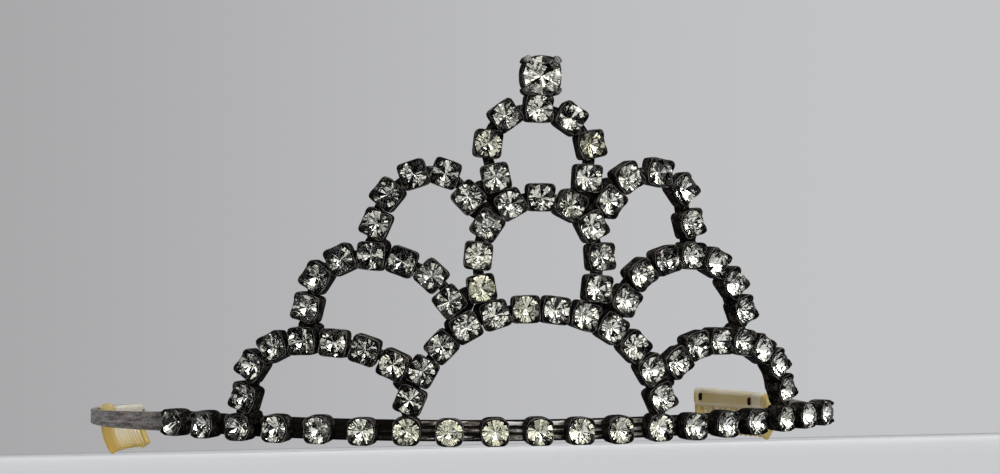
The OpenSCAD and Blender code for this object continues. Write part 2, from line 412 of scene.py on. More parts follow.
class Form:
    """A mesh that is being built in millimetres in the tiara's own frame.

    Each point has a wear, which says how far its finish is rubbed, and each face has a tone from 0 to 1
    and the number of its finish.
    """

    def __init__(self) -> None:
        """Starts an empty mesh."""
        self.points: list[Vector] = []
        self.wear: list[float] = []
        self.faces: list[tuple[int, ...]] = []
        self.tones: list[float] = []
        self.finish_numbers: list[int] = []

    def add(
        self,
        points: Sequence[Vector],
        faces: Sequence[Sequence[int]],
        wear: Levels = 0.0,
        tones: Levels = 0.5,
        finishes: Union[int, Sequence[int]] = 0,
    ) -> None:
        """Adds a shell.

        Args:
            points: Its points.
            faces: Its faces, as numbers of its own points.
            wear: The wear of all or each of its points.
            tones: The tone of all or each of its faces.
            finishes: The finish number of all or each of its faces.
        """
        start = len(self.points)
        self.points.extend(points)
        self.faces.extend(tuple(start + k for k in face) for face in faces)
        self.wear.extend(spread(wear, len(points)))
        self.tones.extend(spread(tones, len(faces)))
        self.finish_numbers.extend(spread(finishes, len(faces)))

    def loft(self, rings: Sequence[Sequence[Vector]], wear: Sequence[Levels], tone: Levels = 0.5) -> None:
        """Adds a closed skin over rings of points, capped at both ends.

        Args:
            rings: Rings with the same number of points.
            wear: The wear of each ring, or of each point of each ring.
            tone: The tone of all the faces, or of each side face, with the caps as the first and last.
        """
        count = len(rings[0])
        points = [p for ring in rings for p in ring]
        worn = [w for level in wear for w in spread(level, count)]
        last = len(points) - count
        faces = []
        for low in range(0, last, count):
            for j in range(count):
                after = (j + 1) % count
                faces.append((low + j, low + after, low + count + after, low + count + j))
        for first in (0, last):
            centre = len(points)
            points.append(sum(points[first : first + count], Vector()) / count)
            worn.append(sum(worn[first : first + count]) / count)
            for j in range(count):
                a, b = first + j, first + (j + 1) % count
                faces.append((a, b, centre) if first else (b, a, centre))
        if not isinstance(tone, (int, float)):
            tone = [*tone, *[tone[0]] * count, *[tone[-1]] * count]
        self.add(points, faces, worn, tone)

    def build(
        self, name: str, finishes: Sequence[bpy.types.Material], sharp: float | None = 35
    ) -> bpy.types.Object:
        """Makes the Blender object, standing as the tiara rests.

        Args:
            name: The piece's name.
            finishes: The materials, in the order of the finish numbers.
            sharp: The angle in degrees from which an edge stays sharp, or None for flat faces.

        Returns:
            The object.
        """
        rest = Matrix.Scale(MM, 4) @ LAYOUT.rest()
        mesh = bpy.data.meshes.new(name)
        mesh.from_pydata([rest @ p for p in self.points], [], self.faces)
        write_mark(mesh, "wear", "POINT", self.wear)
        write_mark(mesh, "tone", "FACE", self.tones)
        mesh.polygons.foreach_set("material_index", self.finish_numbers)
        shell = bmesh.new()
        shell.from_mesh(mesh)
        bmesh.ops.recalc_face_normals(shell, faces=shell.faces)
        shell.to_mesh(mesh)
        shell.free()
        for finish in finishes:
            mesh.materials.append(finish)
        mesh.polygons.foreach_set("use_smooth", [sharp is not None] * len(mesh.polygons))
        if sharp is not None:
            mesh.set_sharp_from_angle(angle=math.radians(sharp))
        mesh.update()
        return add_object(name, mesh)


def place_piece(piece: bpy.types.Object, slot: Slot, *nodes: str) -> bpy.types.Object:
    """Ties a finished piece to the frame.

    Args:
        piece: The piece.
        slot: A material slot; it is not used.
        nodes: The CAD nodes that it stands for.

    Returns:
        The piece.
    """
    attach(piece, ROOT)
    if nodes:
        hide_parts(*nodes)
    LOG.info("%s: %d faces", piece.name, len(piece.data.polygons))
    return piece


def rounded_bar(width: float, depth: float, corner: float, steps: int = 3) -> list[tuple[float, float]]:
    """Gives the outline of a bar with rounded edges.

    Args:
        width: Its width.
        depth: Its depth.
        corner: The radius of its edges.
        steps: The points of each rounded edge, less one.

    Returns:
        The outline's points, as (across, deep).
    """
    outline = []
    for quarter, (x, y) in enumerate(((1, 1), (-1, 1), (-1, -1), (1, -1))):
        for k in range(steps + 1):
            angle = math.pi / 2 * (quarter + k / steps)
            across = x * (width / 2 - corner) + corner * math.cos(angle)
            outline.append((across, y * (depth / 2 - corner) + corner * math.sin(angle)))
    return outline


# Shader trees


class Wire:
    """One output of a shader tree. Python's operators on it add the tree's Math nodes."""

    def __init__(self, tree: "ShaderTree", socket: bpy.types.NodeSocket) -> None:
        """Wraps a socket of a tree."""
        self.tree = tree
        self.socket = socket

    def math(self, operation: str, *values: Value) -> "Wire":
        """Adds a Math node with this operation on these values."""
        return self.tree.node("ShaderNodeMath", {"operation": operation}, dict(enumerate(values)))

    def __add__(self, other: Value) -> "Wire":
        """Adds."""
        return self.math("ADD", self, other)

    def __radd__(self, other: Value) -> "Wire":
        """Adds, reflected."""
        return self.math("ADD", other, self)

    def __sub__(self, other: Value) -> "Wire":
        """Subtracts."""
        return self.math("SUBTRACT", self, other)

    def __rsub__(self, other: Value) -> "Wire":
        """Subtracts, reflected."""
        return self.math("SUBTRACT", other, self)

    def __mul__(self, other: Value) -> "Wire":
        """Multiplies."""
        return self.math("MULTIPLY", self, other)

    def __rmul__(self, other: Value) -> "Wire":
        """Multiplies, reflected."""
        return self.math("MULTIPLY", other, self)

    def band(self, low: float, high: float) -> "Wire":
        """Gives 0 below low and 1 above high, with a smooth step between."""
        inputs = {0: self, 1: low, 2: high, 3: 0.0, 4: 1.0}
        return self.tree.node("ShaderNodeMapRange", {"interpolation_type": "SMOOTHSTEP"}, inputs)


class ShaderTree:
    """A material or world whose nodes are being laid out."""

    def __init__(self, owner: Union[bpy.types.Material, bpy.types.World]) -> None:
        """Clears the owner's tree.

        Args:
            owner: The material or world.
        """
        owner.use_nodes = True
        self.owner = owner
        self.nodes = owner.node_tree.nodes
        self.links = owner.node_tree.links
        self.nodes.clear()

    def node(
        self,
        kind: str,
        settings: dict[str, Any] | None = None,
        inputs: dict[Union[int, str], Any] | None = None,
        output: Union[int, str] = 0,
    ) -> Wire:
        """Adds a node.

        Args:
            kind: The node's type.
            settings: Its own settings.
            inputs: The values or links of its sockets.
            output: The output to give.

        Returns:
            The output.
        """
        made = self.nodes.new(kind)
        for name, setting in (settings or {}).items():
            setattr(made, name, setting)
        for name, value in (inputs or {}).items():
            if isinstance(value, Wire):
                self.links.new(value.socket, made.inputs[name])
            else:
                made.inputs[name].default_value = value
        return Wire(self, made.outputs[output])

    def blend(self, part: Value, first: Union[Wire, Colour], second: Union[Wire, Colour]) -> Wire:
        """Mixes two colours.

        Args:
            part: The second colour's part.
            first: The first colour.
            second: The second colour.

        Returns:
            The mixed colour.
        """
        first, second = ((*c, 1) if isinstance(c, tuple) else c for c in (first, second))
        return self.node("ShaderNodeMix", {"data_type": "RGBA"}, {0: part, 6: first, 7: second}, 2)

    def clouds(
        self, grain_mm: float, detail: float = 3, roughness: float = 0.55, stretch: float = 1
    ) -> Wire:
        """Gives noise.

        Args:
            grain_mm: The height of its clouds in millimetres.
            detail: Its octaves.
            roughness: How much the small octaves count.
            stretch: How many times as long as high they are, level with the floor.

        Returns:
            The noise, from 0 to 1.
        """
        place = self.node("ShaderNodeTexCoord", output="Object")
        if stretch != 1:
            squeeze = {0: place, 1: (1 / stretch, 1 / stretch, 1)}
            place = self.node("ShaderNodeVectorMath", {"operation": "MULTIPLY"}, squeeze)
        inputs = {"Vector": place, "Scale": 1 / (grain_mm * MM), "Detail": detail, "Roughness": roughness}
        return self.node("ShaderNodeTexNoise", None, inputs)

    def mark(self, name: str) -> Wire:
        """Gives one of the mesh's own values."""
        return self.node("ShaderNodeAttribute", {"attribute_name": name}, output="Fac")

    def relief(self, height: Wire, depth_mm: float, strength: float) -> Wire:
        """Gives a normal bumped by a height from 0 to 1, which stands for this depth at full strength."""
        inputs = {"Strength": strength, "Distance": depth_mm * MM, "Height": height}
        return self.node("ShaderNodeBump", None, inputs)

    def end(self, kind: str, shader: Wire) -> None:
        """Ends the tree in its output node."""
        self.links.new(shader.socket, self.nodes.new(kind).inputs["Surface"])

    def surface(self, **sockets: Any) -> bpy.types.Material:
        """Ends the tree in a Principled BSDF.

        Args:
            sockets: The values or links of its sockets, named with _ for a space.

        Returns:
            The tree's material.
        """
        inputs = {name.replace("_", " "): value for name, value in sockets.items()}
        self.end("ShaderNodeOutputMaterial", self.node("ShaderNodeBsdfPrincipled", None, inputs))
        return self.owner


# Finishes


@dataclass(frozen=True)
class BlackenedMetal:
    """Blackened metal that is rubbed to grey on its edges, with brown in its hollows."""

    name: str
    black: Colour = (0.003, 0.0029, 0.0028)
    brown: Colour = (0.060, 0.051, 0.044)
    # Rubbed grey, which on the cups' rims and edges is partly painted highlight
    worn: Colour = (0.42, 0.41, 0.39)
    wear_gain: float = 1.0
    roughness: float = 0.16
    grain_mm: float = 1.6
    fine_mm: float = 0.28

    def make(self) -> bpy.types.Material:
        """Makes the finish.

        Returns:
            The material.
        """
        tree = ShaderTree(bpy.data.materials.new(self.name))
        clouds = tree.clouds(self.grain_mm)
        fine = tree.clouds(self.fine_mm, 4, 0.65)
        base = tree.blend((0.4 * clouds + 0.6 * fine).band(0.5, 0.62), self.black, self.brown)
        # High wear rubs the metal to grey; on the cups' rims and edges this is partly painted highlight lines
        worn = (tree.mark("wear") * self.wear_gain * (fine + 0.6 * clouds)).band(0.5, 0.95)
        return tree.surface(
            Base_Color=tree.blend(worn, base, self.worn),
            Metallic=0.04 + 0.96 * worn,
            Roughness=self.roughness + 0.2 * clouds,
            Specular_IOR_Level=0.0,
            Normal=tree.relief(fine, METAL_RELIEF_MM, 0.4),
        )


@dataclass(frozen=True)
class BandMetal:
    """The band's metal: dark and brown in front, and silver grey with tarnish on its rear arms."""

    name: str
    dark: Colour = (0.0055, 0.005, 0.0045)
    brown: Colour = (0.125, 0.106, 0.088)
    # Rubbed metal, which on the top reed's crest also paints a highlight
    rubbed: Colour = (0.62, 0.60, 0.56)
    silver: Colour = (0.36, 0.335, 0.315)
    tarnish: Colour = (0.105, 0.094, 0.087)
    cloud_mm: float = 2.6
    fine_mm: float = 0.35
    haze_mm: float = 0.9
    streak_mm: float = 0.45
    streak_stretch: float = 9

    def make(self) -> bpy.types.Material:
        """Makes the finish.

        Returns:
            The material.
        """
        tree = ShaderTree(bpy.data.materials.new(self.name))
        clouds = tree.clouds(self.cloud_mm)
        fine = tree.clouds(self.fine_mm, 4, 0.65)
        streaks = tree.clouds(self.streak_mm, 4, 0.6, self.streak_stretch)
        wear = tree.mark("wear")
        browned = (wear * (streaks + 0.5 * clouds)).band(0.62, 0.95)
        worn = (wear * (streaks + 0.3 * fine)).band(0.68, 0.84)
        front = tree.blend(worn, tree.blend(browned, self.dark, self.brown), self.rubbed)
        rear = tree.blend((0.45 * fine + 0.55 * streaks).band(0.42, 0.58), self.tarnish, self.silver)
        silvered = tree.mark("silvered")
        return tree.surface(
            Base_Color=tree.blend(silvered, front, rear),
            Metallic=(0.04 + worn + 0.6 * silvered).band(0.0, 1.0),
            Roughness=0.2 + 0.25 * tree.clouds(self.haze_mm, 5, 0.7) + 0.1 * silvered,
            Specular_IOR_Level=0.0,
            Normal=tree.relief(fine, METAL_RELIEF_MM, 0.4),
        )


@dataclass(frozen=True)
class CutGlass:
    """The clear glass of a stone's crown and girdle."""

    name: str
    tint: Colour = (0.97, 0.98, 0.96)
    gloss_tint: Colour = (0.15, 0.15, 0.15)
    haze_mm: float = 0.5

    def make(self) -> bpy.types.Material:
        """Makes the finish.

        Returns:
            The material.
        """
        tree = ShaderTree(bpy.data.materials.new(self.name))
        return tree.surface(
            Base_Color=(*self.tint, 1),
            Transmission_Weight=1.0,
            IOR=1.54,
            Specular_Tint=(*self.gloss_tint, 1),
            Roughness=0.012 + 0.02 * tree.clouds(self.haze_mm).band(0.5, 0.75),
        )


@dataclass(frozen=True)
class StoneFoil:
    """The foil behind a stone's back facets: dark on some facets and bright on others, which paints the
    reflections of the facets on top of the foil's own mirror.
    """

    name: str
    # The dark and bright foil colours are painted reflection: they stand for the dark and the lit facets
    dull: Colour = (0.006, 0.006, 0.006)
    bright: Colour = (0.965, 0.957, 0.905)
    yellow: Colour = (0.96, 0.94, 0.79)
    spot_mm: float = 0.45

    def make(self) -> bpy.types.Material:
        """Makes the finish.

        Returns:
            The material.
        """
        tree = ShaderTree(bpy.data.materials.new(self.name))
        spots = tree.clouds(self.spot_mm)
        # The tone mark sets each facet's painted reflection, from dark to bright
        tone = (tree.mark("tone") + 0.2 * (spots - 0.5)).band(0.0, 1.0)
        bright = tree.blend(tree.mark("wear"), self.bright, self.yellow)
        return tree.surface(
            Base_Color=tree.blend(tone, self.dull, bright),
            Metallic=1.0,
            Roughness=0.03 + 0.07 * spots,
        )


@dataclass(frozen=True)
class CombPlastic:
    """Aged yellow plastic that lets light through."""

    name: str
    pale: Colour = (0.92, 0.89, 0.79)
    deep: Colour = (0.62, 0.45, 0.09)
    # The aged colour, mixed in by the tone mark, also paints shade on the spine's middle face
    aged_and_shaded: Colour = (0.61, 0.48, 0.175)
    cloud_mm: float = 6
    fine_mm: float = 0.5
    relief_mm: float = 0.15
    depth_mm: Colour = (2, 1.2, 0.5)

    def make(self) -> bpy.types.Material:
        """Makes the finish.

        Returns:
            The material.
        """
        tree = ShaderTree(bpy.data.materials.new(self.name))
        clouds = tree.clouds(self.cloud_mm, 2)
        mottle = 0.4 * (clouds - 0.5)
        colour = tree.blend((tree.mark("wear") + mottle).band(0.1, 0.9), self.pale, self.deep)
        return tree.surface(
            Base_Color=tree.blend((tree.mark("tone") + mottle).band(0.0, 1.0), colour, self.aged_and_shaded),
            Roughness=0.3 + 0.2 * tree.clouds(self.fine_mm),
            IOR=1.49,
            Transmission_Weight=0.75,
            Subsurface_Weight=0.3,
            Subsurface_Radius=tuple(d * MM for d in self.depth_mm),
            Coat_Weight=0.2,
            Normal=tree.relief(clouds, self.relief_mm, 0.3),
        )


@dataclass(frozen=True)
class FloorFinish:
    """A plain pale surface with a faint mottle."""

    name: str
    colour: Colour = (0.385, 0.39, 0.40)
    mottle_mm: float = 40
    grain_mm: float = 12

    def make(self) -> bpy.types.Material:
        """Makes the finish.

        Returns:
            The material.
        """
        tree = ShaderTree(bpy.data.materials.new(self.name))
        shade = tuple(0.97 * c for c in self.colour)
        return tree.surface(
            Base_Color=tree.blend(tree.clouds(self.mottle_mm), shade, self.colour),
            Roughness=0.6 + 0.1 * tree.clouds(self.grain_mm),
        )


# The pieces


@dataclass(frozen=True)
class Cup:
    """A square cup with rounded corners and four claws bent over its stone, in millimetres."""

    width: float = 4.65
    reach: float = 2.95
    depth: float = 3.2
    stone: float = 4.3
    room: float = 0.03
    dip: float = 0.27
    rise: float = 0.2
    claw_w: float = 0.34
    claw_t: float = 0.14
    claw_over: float = 0.36
    claw_out: float = 0
    claw_foot: float = -0.5
    claw_wear: float = 0.55
    claw_sides: int = 8
    around: int = 48

    def outline(self, angle: float) -> float:
        """Gives the wall's reach.

        Args:
            angle: The direction seen from the front.

        Returns:
            The distance from the cup's middle.
        """
        power = -math.log(2) / math.log(self.reach / (self.width / math.sqrt(2)))
        flat = abs(math.cos(angle)) ** power + abs(math.sin(angle)) ** power
        return self.width / 2 * flat ** (-1 / power)

    @staticmethod
    def corner(angle: float) -> float:
        """Gives 1 at a corner and 0 at the middle of a wall, for a direction seen from the front."""
        part = clamp((abs(math.sin(2 * angle)) - 0.5) / 0.4)
        return part * part * (3 - 2 * part)

    def add_to(self, form: Form, seat: Matrix, tone: float) -> None:
        """Adds the cup to a mesh.

        Args:
            form: The mesh.
            seat: The cup's frame.
            tone: The tone of its finish.
        """
        inner = self.stone / 2 + self.room
        # Each ring's part of the outline, inset, part of the rim's rise, height and wear. The rings of no
        # part of the outline are round, and the inset is their radius.
        # The high wear of the rim and of the edges near the foot is partly rubbed metal, partly painted
        # highlight lines
        profile = (
            (0.5, 0, 0, -self.depth, 0.1),
            (1, 0.5, 0, -self.depth, 0.15),
            (1, 0.16, 0, -self.depth + 0.1, 0.7),
            (1, 0.03, 0, -self.depth + 0.35, 0.4),
            (1, 0, 0, -self.depth / 2, 0.05),
            (1, 0, 1, -0.35, 0.0),
            (1, 0.01, 1, -0.1, 0.6),
            (1, 0.06, 1, 0, 1.0),
            (1, 0.15, 1, -0.04, 0.3),
            (0, inner, 1, -0.12, 0.0),
            (0, inner, 0, -0.13 * self.stone, 0.0),
            (0, 0.29 * self.stone, 0, -0.28 * self.stone, 0.0),
            (0, 0.05 * self.stone, 0, -0.46 * self.stone, 0.0),
        )
        rings = []
        for part, inset, rim, z, _ in profile:
            ring = []
            for k in range(self.around):
                angle = 2 * math.pi * k / self.around
                radius = part * self.outline(angle) - inset if part else inset
                high = z + rim * (-self.dip + (self.dip + self.rise) * self.corner(angle))
                ring.append(seat @ Vector((radius * math.cos(angle), radius * math.sin(angle), high)))
            rings.append(ring)
        form.loft(rings, [wear for *_, wear in profile], tone)
        for quarter in range(4):
            self.add_claw(form, seat @ Matrix.Rotation(math.pi / 4 + quarter * math.pi / 2, 4, "Z"), tone)

    def add_claw(self, form: Form, seat: Matrix, tone: float) -> None:
        """Adds a claw that leans over the stone from the corner on the seat's x axis.

        Args:
            form: The mesh.
            seat: The cup's frame turned to that corner.
            tone: The tone of its finish.
        """
        edge = self.stone / 2
        lift = 0.1 * self.stone
        back = self.reach + self.claw_out
        # Where the claw's middle runs, outwards and up, and its part of the claw's full width
        path = (
            (back - 0.30, self.claw_foot, 1.1),
            (back - 0.24, 0.1, 1.1),
            (back - 0.32, 0.85 * lift, 1.0),
            (edge + 0.22, 1.15 * lift, 0.9),
            (edge - 0.12, 1.16 * lift, 0.72),
            (edge - self.claw_over + 0.12, 1.28 * lift, 0.5),
            (edge - self.claw_over, 1.3 * lift, 0.2),
        )
        ways = headings([Vector((x, z)) for x, z, _ in path])
        rings = []
        for (x, z, size), way in zip(path, ways):
            ring = []
            for k in range(self.claw_sides):
                angle = 2 * math.pi * k / self.claw_sides
                side = self.claw_w * size * math.cos(angle)
                up = self.claw_t * (0.6 + 0.4 * size) * math.sin(angle)
                ring.append(seat @ Vector((x - up * way.y, side, z + up * way.x)))
            rings.append(ring)
        form.loft(rings, [0.0] + [self.claw_wear] * (len(path) - 1), tone)


@dataclass(frozen=True)
class CutStone:
    """A round cut stone: a table, a crown, a girdle and foiled back facets, as parts of its width."""

    width: float = 4.3
    table: float = 0.29
    crown: float = 0.17
    girdle: float = 0.015
    waist: tuple[float, float] = (0.26, -0.235)
    waist_wobble: float = 0.006
    back: float = 0.41
    tip: float = 0.02
    facets: int = 12
    sliver: float = 10
    spin: float = 17
    # The tones of bright, half-bright and dark back facets, which are painted reflection
    reflection_levels: tuple[float, float, float] = (0.95, 0.5, 0.03)
    # Painted shade on the stones towards both sides, and painted light on the front of the base, put on the
    # foil's tones
    painted_shade_from: float = 7
    painted_shade_over: float = 14
    painted_shade_left: float = 1.2
    painted_shade_right: float = 0.85
    painted_light_reach: float = 33
    painted_light_height: float = 3
    fresh: float = 0.4

    def add_to(self, form: Form, seat: Seat, spin_number: int) -> None:
        """Adds the stone to a mesh, with glass as finish 0 and foil as finish 1.

        Args:
            form: The mesh.
            seat: Its cup's seat.
            spin_number: How many times it is spun on from the first stone of its row.
        """
        draw = random.Random(STONE_SEED + seat.number)
        # Painted shade and light from the stone's place, plus the stone's own state, which is partly its foil
        # and partly painted light and shade
        foil_and_painted_shade = self.foil_and_painted_shade(seat.frame.translation) + FOIL_AND_LIGHT_OF_STONE.get(seat.number, FoilAndLight.PLAIN).value
        spun = seat.frame @ Matrix.Rotation(math.radians(spin_number * self.spin), 4, "Z")
        points = [spun @ (self.width * p) for p in self.corners(draw)]
        glass, foil = self.faces()
        tones = [0.5] * len(glass) + self.tones(draw, foil_and_painted_shade)
        finishes = [0] * len(glass) + [1] * len(foil)
        form.add(points, glass + foil, AGED_STONES.get(seat.number, 0.05), tones, finishes)

    def corners(self, draw: random.Random) -> list[Vector]:
        """Gives the corners of the facets of a stone that is 1 wide.

        Args:
            draw: The stone's draw.

        Returns:
            The corners of the table, the girdle's front and back edges, the waist and the tip.
        """
        step = 2 * math.pi / self.facets
        even = [step * k for k in range(self.facets)]
        split = []
        for k in range(self.facets):
            middle = step * (k + draw.uniform(-0.2, 0.2))
            half = math.radians(draw.uniform(0.3, 1) * self.sliver) / 2
            split += [middle - half, middle + half]

        def ring(radius: float, z: float, angles: Sequence[float], wobble: float = 0.0) -> list[Vector]:
            """Gives a ring of corners at a height, each up to wobble off it."""
            lifts = [(a, z + draw.uniform(-1, 1) * wobble) for a in angles]
            return [Vector((radius * math.cos(a), radius * math.sin(a), lift)) for a, lift in lifts]

        corners = ring(self.table, self.crown, even[::2]) + ring(0.5, self.girdle, even)
        corners += ring(0.5, -self.girdle, split) + ring(*self.waist, split, self.waist_wobble)
        return corners + ring(self.tip, -self.back, (draw.uniform(0, 6),))

    def faces(self) -> tuple[list[tuple[int, ...]], list[tuple[int, ...]]]:
        """Joins the corners to facets.

        Returns:
            The faces of glass and of foil, as numbers of the corners.
        """
        n, half = self.facets, self.facets // 2
        top, low, mid, tip = half, half + n, half + 3 * n, half + 5 * n
        glass: list[tuple[int, ...]] = [tuple(range(half))]
        for k in range(half):
            here, after = top + 2 * k, (k + 1) % half
            peak, before = here + 1, top + (2 * k + n - 1) % n
            glass += [(k, after, peak), (k, peak, here), (k, here, before)]
        for k in range(n):
            left, right, beyond = low + 2 * k, low + 2 * k + 1, low + (2 * k + 2) % (2 * n)
            glass += [(top + k, left, right), (top + k, right, beyond, top + (k + 1) % n)]
        foil: list[tuple[int, ...]] = []
        for j in range(2 * n):
            after = (j + 1) % (2 * n)
            foil += [(low + j, mid + j, mid + after, low + after), (mid + j, tip, mid + after)]
        return glass, foil

    def foil_and_painted_shade(self, place: Vector) -> float:
        """Gives the painted shade and painted light that a stone's foil takes from its place.

        Args:
            place: The stone's place in the tiara's own frame.

        Returns:
            0 in the middle, above 0 at the sides, where painted shade darkens the foil, and below 0 at the
            front of the base, where painted light brightens it.
        """
        if place.z < self.painted_light_height and abs(place.x) < self.painted_light_reach:
            return -self.fresh
        left, right = ((side.value * place.x - self.painted_shade_from) / self.painted_shade_over for side in Side)
        return max(0, self.painted_shade_left * min(1, left), self.painted_shade_right * min(1, right))

    def tones(self, draw: random.Random, foil_and_painted_shade: float) -> list[float]:
        """Draws the tones of the back's facets, wedge by wedge, which paint the reflections of the facets.

        Args:
            draw: The stone's draw.
            foil_and_painted_shade: How far the stone's foil is darkened, and below 0 how far it is
                brightened, by painted shade and light and by the foil's own state.

        Returns:
            The tones of the outer and inner facet of each wedge, with slivers and broad wedges in turn.
        """
        # Above 0 this darkens the foil's facets and below 0 it brightens them: painted shade and painted
        # light, with the foil's own state
        dark, fresh = min(1.4, max(0, foil_and_painted_shade)), clamp(-foil_and_painted_shade)
        narrow = self.deal(draw, (2 + fresh, 1, 9 - fresh))
        broad = self.deal(draw, (14 - 7.5 * dark, 3, 1.5 + 3.5 * dark - 1.2 * fresh))
        tones = []
        for pair in zip(narrow, broad):
            for outer, spare in zip(pair, draw.sample(broad, 2)):
                inner = outer if draw.random() < 0.6 else spare
                tones += [clamp(level + draw.uniform(-0.12, 0.12)) for level in (outer, inner)]
        return tones

    def deal(self, draw: random.Random, shares: Sequence[float]) -> list[float]:
        """Deals a tone of painted reflection to each wedge of one kind.

        Args:
            draw: The stone's draw.
            shares: The shares of bright, half-bright and dark wedges.

        Returns:
            The tones in a drawn order.
        """
        bright, half, dark = self.reflection_levels
        marks = [sum(shares) * (k + 0.5) / self.facets for k in range(self.facets)]
        dealt = [bright if m < shares[0] else half if m < shares[0] + shares[1] else dark for m in marks]
        draw.shuffle(dealt)
        return dealt


@dataclass
class StoneRow:
    """The stones of one row."""

    node: str
    seats: list[Seat]
    glass: bpy.types.Material
    foil: bpy.types.Material
    shape: CutStone = field(default_factory=CutStone)

    def build(self) -> bpy.types.Object:
        """Builds the row's piece.

        Returns:
            The piece.
        """
        form = Form()
        for i, seat in enumerate(self.seats):
            self.shape.add_to(form, seat, i)
        piece = form.build(self.node + "_cut", (self.glass, self.foil), None)
        return place_piece(piece, Slot.STONES, self.node)


@dataclass
class Arch:
    """A soldered arch: its cups, the links between them and the ribbon behind, in millimetres."""

    row: Row
    seats: list[Seat]
    metal: bpy.types.Material
    cup: Cup = field(default_factory=Cup)
    ribbon_t: float = 0.9
    ribbon_depth: float = 2
    ribbon_out: float = -3.8
    ribbon_round: float = 0.2
    link_w: float = 1.8
    link_t: float = 1
    link_out: float = -2.4
    link_round: float = 0.25
    samples_a_gap: int = 6

    def bar(self, form: Form, width: float, depth: float, out: float, corner: float) -> None:
        """Runs a bar along the row's curve.

        Args:
            form: The mesh to add it to.
            width: The bar's width across the curve.
            depth: The bar's depth outwards.
            out: The distance outwards of its middle.
            corner: The radius of its edges.
        """
        track = self.row.even((self.row.cups - 1) * self.samples_a_gap + 1)
        outline = rounded_bar(width, depth, corner)
        rings = [
            [LAYOUT.spot(place.x - a * way.y, place.y + a * way.x, out + o) for a, o in outline]
            for place, way in zip(track, headings(track))
        ]
        form.loft(rings, [EDGE_WEAR] * len(rings))

    def build(self) -> bpy.types.Object:
        """Builds the arch's piece.

        Returns:
            The piece.
        """
        form = Form()
        self.bar(form, self.ribbon_t, self.ribbon_depth, self.ribbon_out, self.ribbon_round)
        self.bar(form, self.link_w, self.link_t, self.link_out, self.link_round)
        for seat in self.seats:
            self.cup.add_to(form, seat.frame, random.Random(seat.number).random())
        self.extras(form)
        node = self.row.name + "_arch"
        return place_piece(form.build(node + "_metal", (self.metal,)), Slot.ARCH, node)

    def extras(self, form: Form) -> None:
        """Adds what only some arches have, which is nothing here."""


TOP_SETTING = Cup(
    width=6.6, reach=3.55, depth=3.6, stone=6.3,
    claw_w=0.66, claw_t=0.4, claw_over=0.8, claw_out=0.45, claw_foot=-3, claw_wear=0.75,
)


@dataclass
class TopArch(Arch):
    """The arch that carries the setting of the top stone."""

    setting: Cup = TOP_SETTING

    def extras(self, form: Form) -> None:
        """Adds the setting of the top stone."""
        self.setting.add_to(form, LAYOUT.seat(0, TOP_STONE_H), 0.6)


